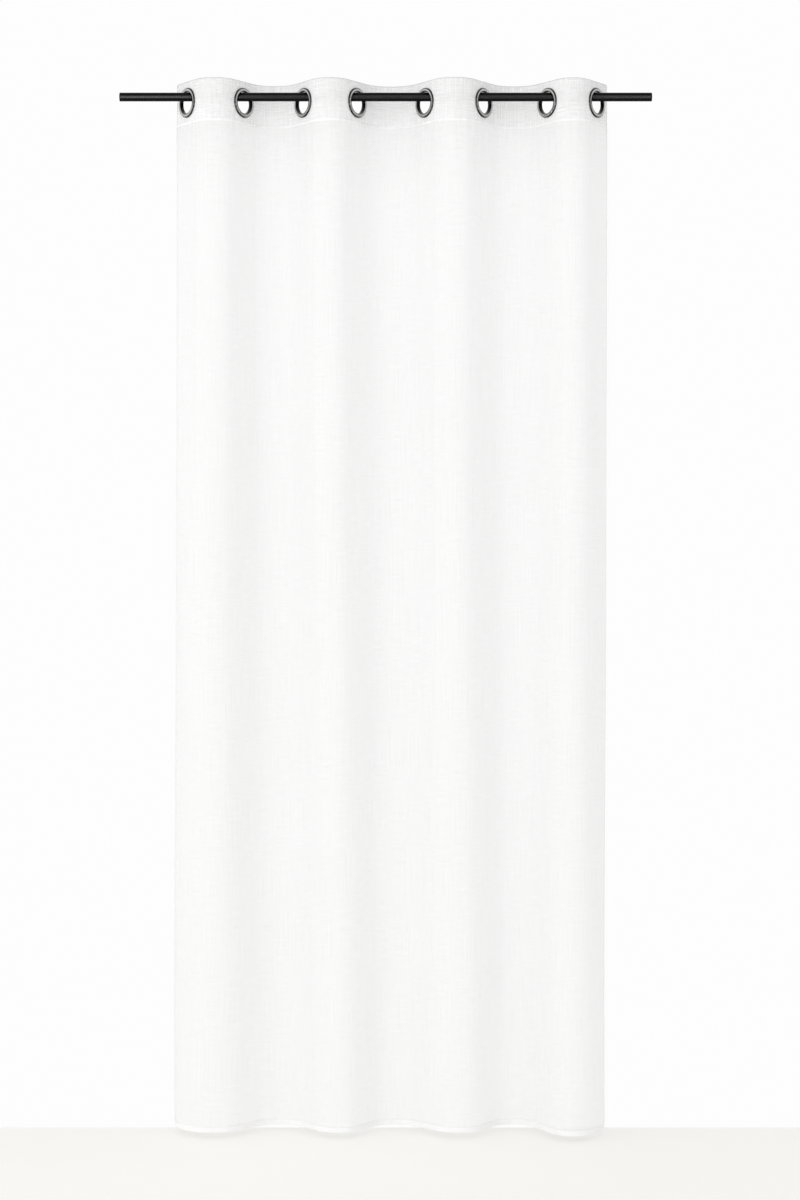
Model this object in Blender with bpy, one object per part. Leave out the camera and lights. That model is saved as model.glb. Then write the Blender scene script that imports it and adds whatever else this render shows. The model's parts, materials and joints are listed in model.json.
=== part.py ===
"""Sheer eyelet curtain hanging in soft folds from a plain round rod.

Metres, +Z up.  The origin is the middle of the rod's axis, the rod lies along X,
and the wall side of the curtain faces +Y.
"""

from collections import namedtuple
from math import cos, pi, radians, sin, sqrt

import bmesh
import bpy
import numpy as np
from mathutils import Matrix

# Gap that every two touching pieces keep.
GAP = 0.0003

# Rod
ROD_RADIUS = 0.010
ROD_LENGTH = 1.220
ROD_STEPS = 32
ROD_END_CHAMFER = 0.0008

# Cloth: top and bottom edges measured from the rod's axis, and the heading's lower edge
CLOTH_THICKNESS = 0.0012
CURTAIN_LENGTH = 2.400
TOP_EDGE_Z = 0.0355
HEADING_HEIGHT = 0.098
BOTTOM_HEM = 0.013
SIDE_HEM = 0.012
HEM_STEP = 0.0005

# Eyelets: each turns the cloth this far from the rod's direction
EYELET_TURN = radians(54)
EYELET_STEPS = 24
EYELET_RADIUS = 0.034
EYELET_BORE_RADIUS = 0.0245
EYELET_NECK_RADIUS = 0.0257
EYELET_RIM = 0.0006
EYELET_CROWN = 0.0028
EYELET_LIP = 0.0008
EYELET_X = (-0.4545, -0.3261, -0.1886, -0.0659, 0.0900, 0.2241, 0.3708, 0.4831)

# Heading: flat cloth each side of an eyelet's centre, then round folds between eyelets
FLAT_HALF = 0.035
FOLD_STEPS = 8
END_TURN = radians(36)
END_RADIUS = 0.038
END_STEPS = 3

# Columns of the cloth from a side edge to the nearest eyelet, and from an eyelet to a crest
END_COLUMNS = 2 + END_STEPS + 1
CREST_COLUMNS = 1 + FOLD_STEPS // 2

# Where each fold's crest lies at the bottom hem: negative depths are towards the room
HemFold = namedtuple("HemFold", "x depth")
HEM_FOLDS = (
    HemFold(x=-0.3925, depth=-0.049),
    HemFold(x=-0.2420, depth=0.045),
    HemFold(x=-0.1040, depth=-0.051),
    HemFold(x=0.0170, depth=0.043),
    HemFold(x=0.1730, depth=-0.050),
    HemFold(x=0.2940, depth=0.046),
    HemFold(x=0.4250, depth=-0.088),
)
HEM_LEFT_END = HemFold(x=-0.4880, depth=0.060)
HEM_RIGHT_END = HemFold(x=0.5040, depth=0.052)
HEM_FOLD_ROUNDNESS = 0.25
CURVE_SAMPLES = 40

# Heights of the cloth's rows between the heading and the bottom hem, as shares of that drop
DROP_SHARES = (0.05, 0.13, 0.23, 0.34, 0.46, 0.58, 0.70, 0.82, 0.92)

HEADING_BOTTOM_Z = TOP_EDGE_Z - HEADING_HEIGHT
BOTTOM_EDGE_Z = TOP_EDGE_Z - CURTAIN_LENGTH
FRONT_FACE = GAP / 2 + CLOTH_THICKNESS
BACK_FACE = -FRONT_FACE
CLOTH_HOLE_RADIUS = EYELET_NECK_RADIUS + GAP / cos(pi / EYELET_STEPS)

# Colours (linear), roughness and metallic value of each material
Finish = namedtuple("Finish", "colour roughness metallic")
FINISHES = {
    "sheer_cloth": Finish(colour=(0.86, 0.86, 0.85, 1), roughness=0.85, metallic=0.0),
    "heading_cloth": Finish(colour=(0.90, 0.90, 0.89, 1), roughness=0.85, metallic=0.0),
    "black_nickel": Finish(colour=(0.20, 0.20, 0.21, 1), roughness=0.25, metallic=1.0),
    "black_rod": Finish(colour=(0.012, 0.012, 0.014, 1), roughness=0.35, metallic=0.2),
}


def clear_scene():
    for item in list(bpy.data.objects):
        bpy.data.objects.remove(item, do_unlink=True)


def material(name):
    finish = FINISHES[name]
    made = bpy.data.materials.get(name) or bpy.data.materials.new(name)
    made.use_nodes = True
    shader = made.node_tree.nodes["Principled BSDF"]
    shader.inputs["Base Color"].default_value = finish.colour
    shader.inputs["Roughness"].default_value = finish.roughness
    shader.inputs["Metallic"].default_value = finish.metallic
    return made


def add_object(name, mesh, finish=None):
    item = bpy.data.objects.new(name, mesh)
    bpy.context.collection.objects.link(item)
    if finish and not mesh.materials:
        mesh.materials.append(material(finish))
    return item


def turned_mesh(name, profile, steps):
    """A closed (radius, height) outline turned once round Z."""
    shape = bmesh.new()
    corners = [shape.verts.new((radius, 0, height)) for radius, height in profile]
    edges = [shape.edges.new((a, b)) for a, b in zip(corners, corners[1:] + corners[:1])]
    bmesh.ops.spin(shape, geom=corners + edges, cent=(0, 0, 0), axis=(0, 0, 1),
                   angle=2 * pi, steps=steps, use_merge=True)
    bmesh.ops.remove_doubles(shape, verts=shape.verts, dist=1e-6)
    bmesh.ops.recalc_face_normals(shape, faces=shape.faces)
    mesh = bpy.data.meshes.new(name)
    shape.to_mesh(mesh)
    shape.free()
    mesh.shade_smooth()
    mesh.set_sharp_from_angle(angle=radians(40))
    return mesh


def heading_path():
    """The heading's line in plan, left to right.

    The line runs back at both ends, passes every eyelet on a flat stretch and turns
    on an arc between eyelets.
    """
    points = [(0.0, 0.0)]
    direction = -pi / 2

    def straight(length):
        x, y = points[-1]
        points.append((x + length * cos(direction), y + length * sin(direction)))

    def arc(radius, turn, steps):
        nonlocal direction
        chord = 2 * radius * sin(abs(turn) / steps / 2)
        for _ in range(steps):
            direction += turn / steps / 2
            straight(chord)
            direction += turn / steps / 2

    straight(SIDE_HEM)
    straight(HEM_STEP)
    arc(END_RADIUS, END_TURN, END_STEPS)
    straight(FLAT_HALF)
    first_eyelet = points[-1]
    for index, gap in enumerate(np.diff(EYELET_X)):
        radius = (gap / 2 - FLAT_HALF * cos(EYELET_TURN)) / sin(EYELET_TURN)
        towards_back = 1 if index % 2 == 0 else -1
        straight(FLAT_HALF)
        arc(radius, 2 * EYELET_TURN * towards_back, FOLD_STEPS)
        straight(FLAT_HALF)
    straight(FLAT_HALF)
    arc(END_RADIUS, END_TURN, END_STEPS)
    straight(HEM_STEP)
    straight(SIDE_HEM)
    shift = np.array((EYELET_X[0], 0.0)) - np.array(first_eyelet)
    return np.array(points) + shift


def crest_columns():
    """Column numbers of the two ends and of the seven fold crests on the heading's line."""
    first = END_COLUMNS + CREST_COLUMNS
    crests = [first + 2 * CREST_COLUMNS * index for index in range(len(EYELET_X) - 1)]
    return [0] + crests + [crests[-1] + first]


def lengths_along(points):
    steps = np.hypot(*np.diff(points, axis=0).T)
    return np.concatenate(([0.0], np.cumsum(steps)))


def hem_stretch(start, end, is_end):
    """The hem's line in plan between two crests, or from a crest out to a side edge."""
    share = np.linspace(0, 1, CURVE_SAMPLES)
    if is_end:
        along, away = np.sin(share * pi / 2), 1 - np.cos(share * pi / 2)
    else:
        along = share + HEM_FOLD_ROUNDNESS * np.sin(2 * pi * share) / (2 * pi)
        away = (1 - np.cos(pi * share)) / 2
    return np.column_stack((start.x + (end.x - start.x) * along,
                            start.depth + (end.depth - start.depth) * away))


def hem_path(heading):
    """The hem's line, with a point for every point of the heading, spaced as the cloth is."""
    crests = crest_columns()
    along = lengths_along(heading)
    left = hem_stretch(HEM_FOLDS[0], HEM_LEFT_END, True)[::-1]
    right = hem_stretch(HEM_FOLDS[-1], HEM_RIGHT_END, True)
    middle = [hem_stretch(a, b, False) for a, b in zip(HEM_FOLDS, HEM_FOLDS[1:])]
    points = []
    for first, last, stretch in zip(crests, crests[1:], [left] + middle + [right]):
        reach = lengths_along(stretch)
        wanted = (along[first:last + 1] - along[first]) / (along[last] - along[first])
        for share in wanted[1 if points else 0:]:
            points.append([np.interp(share * reach[-1], reach, stretch[:, axis]) for axis in (0, 1)])
    return np.array(points)


def moved_sideways(points, distance):
    """A line in plan moved towards the room by a distance, its corners mitred."""
    runs = np.diff(points, axis=0)
    runs /= np.hypot(runs[:, 0], runs[:, 1])[:, None]
    before = np.vstack((runs[:1], runs))
    after = np.vstack((runs, runs[-1:]))
    towards_room = np.column_stack((before[:, 1] + after[:, 1], -before[:, 0] - after[:, 0]))
    scale = 2 / (towards_room ** 2).sum(axis=1)
    return points + towards_room * (scale * distance)[:, None]


def hung_sheet(name, finish, rows, plies):
    """A sheet through rows of (z, line in plan), thickened backwards by its plies of cloth."""
    columns = len(rows[0][1])
    places = [(x, y, z) for z, line in rows for x, y in line]
    faces = []
    for row in range(len(rows) - 1):
        for column in range(columns - 1):
            corner = row * columns + column
            faces.append((corner, corner + columns, corner + columns + 1, corner + 1))
    mesh = bpy.data.meshes.new(name)
    mesh.from_pydata(places, [], faces)
    sheet = add_object(name, mesh, finish)
    group = sheet.vertex_groups.new(name="plies")
    for row in range(len(rows)):
        for column in range(columns):
            group.add([row * columns + column], plies(row, column) / 2, "REPLACE")
    thicken = sheet.modifiers.new("cloth_thickness", "SOLIDIFY")
    thicken.thickness = 2 * CLOTH_THICKNESS
    thicken.offset = -1
    thicken.vertex_group = group.name
    mesh.shade_smooth()
    mesh.set_sharp_from_angle(angle=radians(40))
    return sheet


def curtain_panel(heading):
    """The whole drop of sheer cloth, with its side hems and bottom hem turned to the back."""
    hem = hem_path(heading)
    hem_top_z = BOTTOM_EDGE_Z + BOTTOM_HEM
    drop = HEADING_BOTTOM_Z - BOTTOM_EDGE_Z
    heights = [TOP_EDGE_Z, HEADING_BOTTOM_Z]
    heights += [HEADING_BOTTOM_Z - share * drop for share in DROP_SHARES]
    heights += [hem_top_z + HEM_STEP, hem_top_z, BOTTOM_EDGE_Z]
    rows = []
    for z in heights:
        share = max(0.0, (HEADING_BOTTOM_Z - z) / drop)
        blend = share * share * (3 - 2 * share)
        line = heading + (hem - heading) * blend
        rows.append((z, moved_sideways(line, FRONT_FACE)))
    last_row = len(rows) - 1
    last_column = len(heading) - 1

    def plies(row, column):
        turned_over = row >= last_row - 1 or column <= 1 or column >= last_column - 1
        return 2 if turned_over else 1

    return hung_sheet("curtain_panel", "sheer_cloth", rows, plies)


def heading_tape(heading):
    """The stiff strip behind the heading, from one side hem to the other."""
    along = lengths_along(heading)
    start = SIDE_HEM + HEM_STEP + GAP
    inside = heading[(along > start) & (along < along[-1] - start)]
    ends = [[np.interp(place, along, heading[:, axis]) for axis in (0, 1)]
            for place in (start, along[-1] - start)]
    line = moved_sideways(np.vstack((ends[:1], inside, ends[1:])), -GAP / 2)
    rows = [(TOP_EDGE_Z - GAP, line), (HEADING_BOTTOM_Z, line)]
    return hung_sheet("heading_tape", "heading_cloth", rows, lambda row, column: 1)


def eyelet_drop():
    """How far an eyelet's centre hangs below the rod's axis.

    An eyelet crosses the rod at a slant, so it rests on the rod with the two ends of
    its bore.  The least rise of those ends over the rod, plus the gap, sets the drop.
    """
    bore = EYELET_BORE_RADIUS * cos(pi / EYELET_STEPS)
    clear = ROD_RADIUS + GAP
    drops = []
    for end in (FRONT_FACE + GAP + EYELET_LIP, BACK_FACE - GAP - EYELET_CROWN):
        for degree in range(181):
            across, rise = bore * cos(radians(degree)), bore * sin(radians(degree))
            aside = across * sin(EYELET_TURN) + end * cos(EYELET_TURN)
            if abs(aside) < clear:
                drops.append(rise - sqrt(clear ** 2 - aside ** 2))
    return min(drops)


def eyelet_front_mesh():
    """The room-side half: a domed flange and the neck that passes through the cloth."""
    seat = FRONT_FACE + GAP
    neck_end = BACK_FACE - GAP - EYELET_CROWN
    width = EYELET_RADIUS - EYELET_BORE_RADIUS
    return turned_mesh("eyelet_front", (
        (EYELET_BORE_RADIUS, neck_end),
        (EYELET_NECK_RADIUS, neck_end),
        (EYELET_NECK_RADIUS, seat),
        (EYELET_RADIUS, seat),
        (EYELET_RADIUS, seat + EYELET_RIM),
        (EYELET_RADIUS - 0.2 * width, seat + 0.8 * EYELET_CROWN),
        (EYELET_RADIUS - 0.5 * width, seat + EYELET_CROWN),
        (EYELET_RADIUS - 0.8 * width, seat + 0.8 * EYELET_CROWN),
        (EYELET_BORE_RADIUS, seat + EYELET_LIP),
    ), EYELET_STEPS)


def eyelet_back_mesh():
    """The wall-side half: a domed washer that grips the neck behind the cloth."""
    seat = BACK_FACE - GAP
    inner = EYELET_NECK_RADIUS + GAP / cos(pi / EYELET_STEPS)
    width = EYELET_RADIUS - inner
    return turned_mesh("eyelet_back", (
        (inner, seat),
        (EYELET_RADIUS, seat),
        (EYELET_RADIUS, seat - EYELET_RIM),
        (EYELET_RADIUS - 0.25 * width, seat - 0.8 * EYELET_CROWN),
        (EYELET_RADIUS - 0.6 * width, seat - EYELET_CROWN),
        (inner, seat - EYELET_CROWN),
    ), EYELET_STEPS)


def eyelet_places():
    """Centre and turn about Z of every eyelet; neighbours face opposite ways."""
    drop = eyelet_drop()
    for index, x in enumerate(EYELET_X):
        yield (x, 0.0, -drop), (-EYELET_TURN if index % 2 == 0 else EYELET_TURN)


def eyelets():
    front, back = eyelet_front_mesh(), eyelet_back_mesh()
    for number, (place, turn) in enumerate(eyelet_places(), start=1):
        for name, mesh in (("eyelet_front", front), ("eyelet_back", back)):
            half = add_object(f"{name}_{number}", mesh, "black_nickel")
            half.location = place
            half.rotation_euler = (pi / 2, 0, turn)


def eyelet_cutters():
    """Short cylinders, one at each eyelet, that cut the cloth's holes."""
    shape = bmesh.new()
    for place, turn in eyelet_places():
        frame = Matrix.Translation(place) @ Matrix.Rotation(turn, 4, "Z") @ Matrix.Rotation(pi / 2, 4, "X")
        bmesh.ops.create_cone(shape, cap_ends=True, segments=EYELET_STEPS, radius1=CLOTH_HOLE_RADIUS,
                              radius2=CLOTH_HOLE_RADIUS, depth=12 * CLOTH_THICKNESS, matrix=frame)
    mesh = bpy.data.meshes.new("eyelet_cutters")
    shape.to_mesh(mesh)
    shape.free()
    cutters = add_object("eyelet_cutters", mesh)
    cutters.hide_render = True
    cutters.display_type = "WIRE"
    return cutters


def cut_holes(sheet, cutters):
    cut = sheet.modifiers.new("eyelet_holes", "BOOLEAN")
    cut.operation = "DIFFERENCE"
    cut.solver = "EXACT"
    cut.object = cutters


def rod():
    """Plain round rod with flat ends and a small chamfer."""
    half = ROD_LENGTH / 2
    edge = ROD_RADIUS - ROD_END_CHAMFER
    shape = bmesh.new()
    bmesh.ops.create_cone(shape, cap_ends=True, segments=ROD_STEPS, radius1=ROD_RADIUS,
                          radius2=ROD_RADIUS, depth=2 * (half - ROD_END_CHAMFER))
    caps = [face for face in shape.faces if len(face.verts) == ROD_STEPS]
    for cap in caps:
        side = 1 if cap.calc_center_median().z > 0 else -1
        grown = bmesh.ops.extrude_face_region(shape, geom=[cap])["geom"]
        for corner in (item for item in grown if isinstance(item, bmesh.types.BMVert)):
            corner.co.x *= edge / ROD_RADIUS
            corner.co.y *= edge / ROD_RADIUS
            corner.co.z += side * ROD_END_CHAMFER
    bmesh.ops.delete(shape, geom=caps, context="FACES_ONLY")
    bmesh.ops.rotate(shape, verts=shape.verts, matrix=Matrix.Rotation(pi / 2, 3, "Y"))
    bmesh.ops.recalc_face_normals(shape, faces=shape.faces)
    mesh = bpy.data.meshes.new("rod")
    shape.to_mesh(mesh)
    shape.free()
    mesh.shade_smooth()
    mesh.set_sharp_from_angle(angle=radians(30))
    return add_object("rod", mesh, "black_rod")


def main():
    clear_scene()
    heading = heading_path()
    rod()
    eyelets()
    cutters = eyelet_cutters()
    for sheet in (curtain_panel(heading), heading_tape(heading)):
        cut_holes(sheet, cutters)


main()
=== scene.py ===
"""A sheer white eyelet curtain on a plain black rod: cloth, heading, eyelets, rod and stage.

Metres, +Z up.  The origin is the middle of the rod's axis and the room is on the -Y side.
"""

import json
from collections import namedtuple
from functools import lru_cache
from math import cos, pi, radians, sin

import bmesh
import bpy
import numpy as np
from bpy.props import FloatProperty, FloatVectorProperty, PointerProperty
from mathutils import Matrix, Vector

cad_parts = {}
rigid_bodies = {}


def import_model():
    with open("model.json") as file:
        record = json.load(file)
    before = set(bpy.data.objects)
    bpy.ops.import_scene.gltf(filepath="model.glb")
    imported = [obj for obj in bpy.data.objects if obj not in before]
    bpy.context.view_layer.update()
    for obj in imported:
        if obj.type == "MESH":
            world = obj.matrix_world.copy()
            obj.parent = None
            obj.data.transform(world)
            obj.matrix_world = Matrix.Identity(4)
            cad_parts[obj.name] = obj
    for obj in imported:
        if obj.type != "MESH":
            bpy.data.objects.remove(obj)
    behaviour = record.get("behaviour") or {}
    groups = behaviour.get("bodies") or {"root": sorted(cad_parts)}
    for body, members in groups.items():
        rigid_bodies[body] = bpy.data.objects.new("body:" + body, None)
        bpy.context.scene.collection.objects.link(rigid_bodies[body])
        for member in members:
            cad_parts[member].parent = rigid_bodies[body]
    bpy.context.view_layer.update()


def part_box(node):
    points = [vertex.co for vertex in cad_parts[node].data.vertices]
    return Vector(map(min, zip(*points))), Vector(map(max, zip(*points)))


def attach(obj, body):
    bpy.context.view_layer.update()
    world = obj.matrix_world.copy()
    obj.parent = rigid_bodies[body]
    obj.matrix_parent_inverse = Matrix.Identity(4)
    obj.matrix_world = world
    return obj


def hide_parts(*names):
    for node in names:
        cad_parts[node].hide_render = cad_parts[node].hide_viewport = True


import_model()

bl_info = {
    "name": "Sheer eyelet curtain",
    "version": (1, 0, 0),
    "blender": (4, 5, 0),
    "location": "View3D > Sidebar > Curtain",
    "description": "Builds a sheer eyelet curtain on its rod, piece by piece",
    "category": "Object",
}

ROD_LOW, ROD_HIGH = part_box("rod")
EYELET_LOW, EYELET_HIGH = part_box("eyelet_front_1")
PANEL_LOW, PANEL_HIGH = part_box("curtain_panel")
TAPE_LOW, TAPE_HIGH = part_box("heading_tape")

MM = 0.001
RING_SIDES = 96
MERGE_DISTANCE = 0.001 * MM
# A height or distance well beyond the curtain on any side
FAR = 9.0

# Rod and eyelets, as the model holds them
ROD_RADIUS = (ROD_HIGH.z - ROD_LOW.z) / 2
ROD_LENGTH = ROD_HIGH.x - ROD_LOW.x
ROD_END_BAND = 3 * MM
ROD_ROUNDING = 0.9 * MM
ROD_END_RIM = 1.6 * MM
EYELET_RADIUS = (EYELET_HIGH.z - EYELET_LOW.z) / 2
EYELET_Z = (EYELET_HIGH.z + EYELET_LOW.z) / 2
EYELET_X = (-0.4545, -0.3261, -0.1886, -0.0659, 0.0900, 0.2241, 0.3708, 0.4831)
EYELET_TURN = radians(54)
EYELET_BORE = 24.5 * MM
NECK_RADIUS = 25.7 * MM
CLOTH_HOLE = 27.0 * MM

# Heights of the cloth's edges and of the heading's lower edge
TOP_EDGE = PANEL_HIGH.z
BOTTOM_EDGE = PANEL_LOW.z
HEADING_BOTTOM = TAPE_LOW.z

# Heading in plan: flat beside each eyelet, round between eyelets, turned back at both ends
FLAT_HALF = 35 * MM
END_RUN = 12.5 * MM
END_TURN = radians(36)
END_RADIUS = 38 * MM
FIRST_EYELET = END_RUN + END_RADIUS * END_TURN + FLAT_HALF
LINE_STEP = 0.25 * MM

# Fold crests at the bottom hem: negative depths are towards the room
HemFold = namedtuple("HemFold", "x depth")
HEM_FOLDS = (
    HemFold(x=-0.3925, depth=-0.049),
    HemFold(x=-0.2420, depth=0.045),
    HemFold(x=-0.1040, depth=-0.051),
    HemFold(x=0.0170, depth=0.043),
    HemFold(x=0.1730, depth=-0.050),
    HemFold(x=0.2940, depth=0.046),
    HemFold(x=0.4250, depth=-0.088),
)
HEM_LEFT_END = HemFold(x=-0.4880, depth=0.060)
HEM_RIGHT_END = HemFold(x=0.5040, depth=0.052)
HEM_FOLD_ROUNDNESS = 0.25
HEM_SAMPLES = 400

# Layers of the cloth, as distances from the middle of the heading towards the room
CLOTH_OUT = 0.5 * MM
TAPE_OUT = -0.5 * MM
SIDE_FOLD = 0.25 * MM
HEM_FOLD = 0.7 * MM
TOP_FOLD = 1.0 * MM
TAPE_INSET = 12.8 * MM

# Distance of each line of stitches from its edge
TOP_SEAM = 3.0 * MM
LOW_SEAM = 2.2 * MM
HEM_SEAM = 1.2 * MM
SEAM_END = 2 * MM
SEAM_GAP = 4 * MM

# One stitch: how far along it, how wide and how high each of its sections is
StitchSection = namedtuple("StitchSection", "share width lift")
STITCH = (
    StitchSection(share=-0.5, width=0.35, lift=-0.3),
    StitchSection(share=-0.25, width=1.0, lift=0.35),
    StitchSection(share=0.25, width=1.0, lift=0.35),
    StitchSection(share=0.5, width=0.35, lift=-0.3),
)
STITCH_FLATNESS = 1.3

# Long shallow unevenness of hanging cloth: waves across and down, height and start
Ripple = namedtuple("Ripple", "across down height start")
RIPPLES = (
    Ripple(across=0.083, down=1.9, height=0.20 * MM, start=0.4),
    Ripple(across=0.131, down=-2.7, height=0.35 * MM, start=2.1),
    Ripple(across=0.047, down=3.4, height=0.10 * MM, start=4.0),
    Ripple(across=0.211, down=1.2, height=0.50 * MM, start=5.2),
)
RIPPLE_GROWTH = 0.5

# Small gathers under the heading's stitching, fading out on the way down
GATHERS = (
    Ripple(across=0.0131, down=0.9, height=0.22 * MM, start=0.0),
    Ripple(across=0.0187, down=-1.3, height=0.28 * MM, start=1.7),
    Ripple(across=0.0262, down=1.1, height=0.30 * MM, start=3.9),
)
GATHER_REACH = 0.16
GATHER_FULL = 0.01
GATHER_ABOVE = 0.02

# Mesh spacing of the cloth
COLUMN = 3.9 * MM
HEM_COLUMN = 4.0 * MM
HEADING_ROW = 4.0 * MM
PANEL_ROW = 13 * MM
HEM_ROWS = 3
FOLD_ARC = 4

# Soft creases: where along the cloth, between which heights, how deep and wide
CREASE_FADE = 0.06
Crease = namedtuple("Crease", "along top bottom depth width")
CREASES = (
    Crease(along=0.158, top=0.034, bottom=-0.11, depth=-1.5 * MM, width=5 * MM),
    Crease(along=0.190, top=-0.02, bottom=-1.75, depth=0.7 * MM, width=9 * MM),
    Crease(along=0.443, top=-0.06, bottom=-0.62, depth=0.9 * MM, width=5 * MM),
    Crease(along=0.540, top=0.034, bottom=-0.13, depth=-1.4 * MM, width=5 * MM),
    Crease(along=0.528, top=-0.07, bottom=-1.60, depth=0.7 * MM, width=8 * MM),
    Crease(along=0.826, top=-0.42, bottom=-1.45, depth=0.9 * MM, width=6 * MM),
    Crease(along=0.902, top=0.034, bottom=-0.10, depth=-1.5 * MM, width=5 * MM),
    Crease(along=0.908, top=-0.07, bottom=-2.30, depth=0.7 * MM, width=9 * MM),
    Crease(along=1.040, top=-0.40, bottom=-2.36, depth=-0.9 * MM, width=12 * MM),
    Crease(along=1.217, top=-0.06, bottom=-1.50, depth=0.9 * MM, width=6 * MM),
    Crease(along=1.276, top=0.034, bottom=-0.12, depth=-1.4 * MM, width=5 * MM),
    Crease(along=1.283, top=-0.08, bottom=-1.35, depth=0.6 * MM, width=7 * MM),
)

# Painted shade and painted light in the cloth's colour in places, and how much whiter doubled cloth
# is, as shares of its colour
GATHER_PAINTED_SHADE = 0.03
UNDER_SEAM_PAINTED_SHADE = 0.018
UNDER_SEAM_REACH = 0.03
SEAM_PAINTED_SHADE = 0.09
HEADING_LOW_PAINTED_LIGHT = -0.02
HEADING_TOP_PAINTED_SHADE = 0.022
HEADING_MIDDLE = 0.035
TOP_FOLD_PAINTED_SHADE = 0.34
DOUBLED_WHITENESS = 0.045

# Where the cloth's shades begin and end
SOFT_EDGE = 0.3 * MM
LOW_EDGE = 4.5 * MM
SEAM_HALF = 0.5 * MM
SEAM_SOFT_EDGE = 0.4 * MM

# Lamps that light everything, and long lamps that show only as bright lines on the metal and paint
Lamp = namedtuple("Lamp", "name place size power")
FRONT_SOFTBOX = Lamp(name="front_softbox", place=(-0.4, -5.8, 1.15), size=(2.8, 0.9), power=12)
LEFT_SOFTBOX = Lamp(name="left_softbox", place=(-3.9, -4.6, -0.6), size=(2.0, 3.0), power=38)
STRIPS = (
    Lamp(name="high_strip", place=(0.0, -5.9, 2.1), size=(3.2, 0.9), power=170),
    Lamp(name="middle_strip", place=(0.0, -5.9, -1.15), size=(3.2, 0.7), power=190),
    Lamp(name="left_strip", place=(-1.2, -5.9, -1.15), size=(0.6, 2.0), power=120),
    Lamp(name="right_strip", place=(1.2, -5.9, -1.15), size=(0.4, 1.4), power=40),
    Lamp(name="low_strip", place=(0.0, -2.2, -2.1), size=(3.2, 0.45), power=50),
)


class CurtainSizes(bpy.types.PropertyGroup):
    """Sizes that a maker would change."""
    heading_height: FloatProperty(
        name="Heading height", description="Height of the stiffened heading",
        default=TAPE_HIGH.z - TAPE_LOW.z, unit="LENGTH")
    bottom_hem: FloatProperty(
        name="Bottom hem", description="Height of the turned-up bottom hem",
        default=13 * MM, unit="LENGTH")
    side_hem: FloatProperty(
        name="Side hem", description="Width of the turned-in side hems",
        default=12 * MM, unit="LENGTH")
    thread_pitch: FloatProperty(
        name="Thread pitch", description="Distance between neighbouring threads of the sheer cloth",
        default=0.55 * MM, unit="LENGTH", precision=5)
    net_pitch: FloatProperty(
        name="Net pitch", description="Distance between neighbouring threads of the heading's net",
        default=1.6 * MM, unit="LENGTH", precision=5)
    stitch_pitch: FloatProperty(
        name="Stitch pitch", description="Distance from one stitch to the next",
        default=3.4 * MM, unit="LENGTH", precision=5)
    stitch_length: FloatProperty(
        name="Stitch length", description="Length of one visible stitch",
        default=2.7 * MM, unit="LENGTH", precision=5)
    thread_thickness: FloatProperty(
        name="Thread thickness", description="Thickness of the sewing thread",
        default=0.36 * MM, unit="LENGTH", precision=5)
    floor_gap: FloatProperty(
        name="Gap over the floor", description="Height of the hem above the floor",
        default=15.5 * MM, unit="LENGTH")
    floor_back: FloatProperty(
        name="Floor behind the rod", description="How far the floor reaches behind the rod",
        default=85 * MM, unit="LENGTH")


class CurtainColours(bpy.types.PropertyGroup):
    """Colours and finishes that a user would change."""
    cloth: FloatVectorProperty(
        name="Cloth", description="Colour of the sheer cloth",
        default=(0.93, 0.93, 0.932), size=3, min=0, max=1, subtype="COLOR")
    see_through: FloatProperty(
        name="See-through share", description="Share of light that passes between the threads",
        default=0.2, min=0, max=1, subtype="FACTOR")
    net: FloatVectorProperty(
        name="Heading net", description="Colour of the heading's stiff net",
        default=(0.93, 0.93, 0.932), size=3, min=0, max=1, subtype="COLOR")
    thread: FloatVectorProperty(
        name="Sewing thread", description="Colour of the stitches",
        default=(0.94, 0.94, 0.93), size=3, min=0, max=1, subtype="COLOR")
    metal: FloatVectorProperty(
        name="Eyelet metal", description="Colour of the eyelets' dark nickel",
        default=(0.56, 0.55, 0.54), size=3, min=0, max=1, subtype="COLOR")
    rod: FloatVectorProperty(
        name="Rod paint", description="Colour of the rod's black paint",
        default=(0.002, 0.002, 0.0025), size=3, min=0, max=1, subtype="COLOR")
    floor: FloatVectorProperty(
        name="Floor", description="Colour of the pale floor",
        default=(0.962, 0.954, 0.928), size=3, min=0, max=1, subtype="COLOR")
    background: FloatVectorProperty(
        name="Background", description="Colour behind the curtain",
        default=(0.985, 0.985, 0.985), size=3, min=0, max=1, subtype="COLOR")


def sizes():
    return bpy.context.scene.curtain_sizes


def colours():
    return bpy.context.scene.curtain_colours


# Cloth in plan

def lengths_along(points):
    steps = np.hypot(*np.diff(points, axis=0).T)
    return np.concatenate(([0.0], np.cumsum(steps)))


def walked(runs, direction):
    """Points along runs of (length, turn), starting at the origin."""
    points = [np.zeros((1, 2))]
    for length, turn in runs:
        steps = max(1, round(length / LINE_STEP))
        angles = direction + turn * (np.arange(steps) + 0.5) / steps
        moves = np.column_stack((np.cos(angles), np.sin(angles))) * length / steps
        points.append(points[-1][-1] + np.cumsum(moves, axis=0))
        direction += turn
    return np.vstack(points)


def heading_runs():
    """Straight and round runs of the heading, left to right, and the crests' distances."""
    end = [(END_RUN, 0), (END_RADIUS * END_TURN, END_TURN), (FLAT_HALF, 0)]
    runs, crests = list(end), []
    for index, gap in enumerate(np.diff(EYELET_X)):
        radius = (gap / 2 - FLAT_HALF * cos(EYELET_TURN)) / sin(EYELET_TURN)
        side = 1 if index % 2 == 0 else -1
        before = sum(length for length, _ in runs)
        arc = 2 * EYELET_TURN * radius
        crests.append(before + FLAT_HALF + arc / 2)
        runs += [(FLAT_HALF, 0), (arc, 2 * EYELET_TURN * side), (FLAT_HALF, 0)]
    return runs + end[::-1], crests


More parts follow.
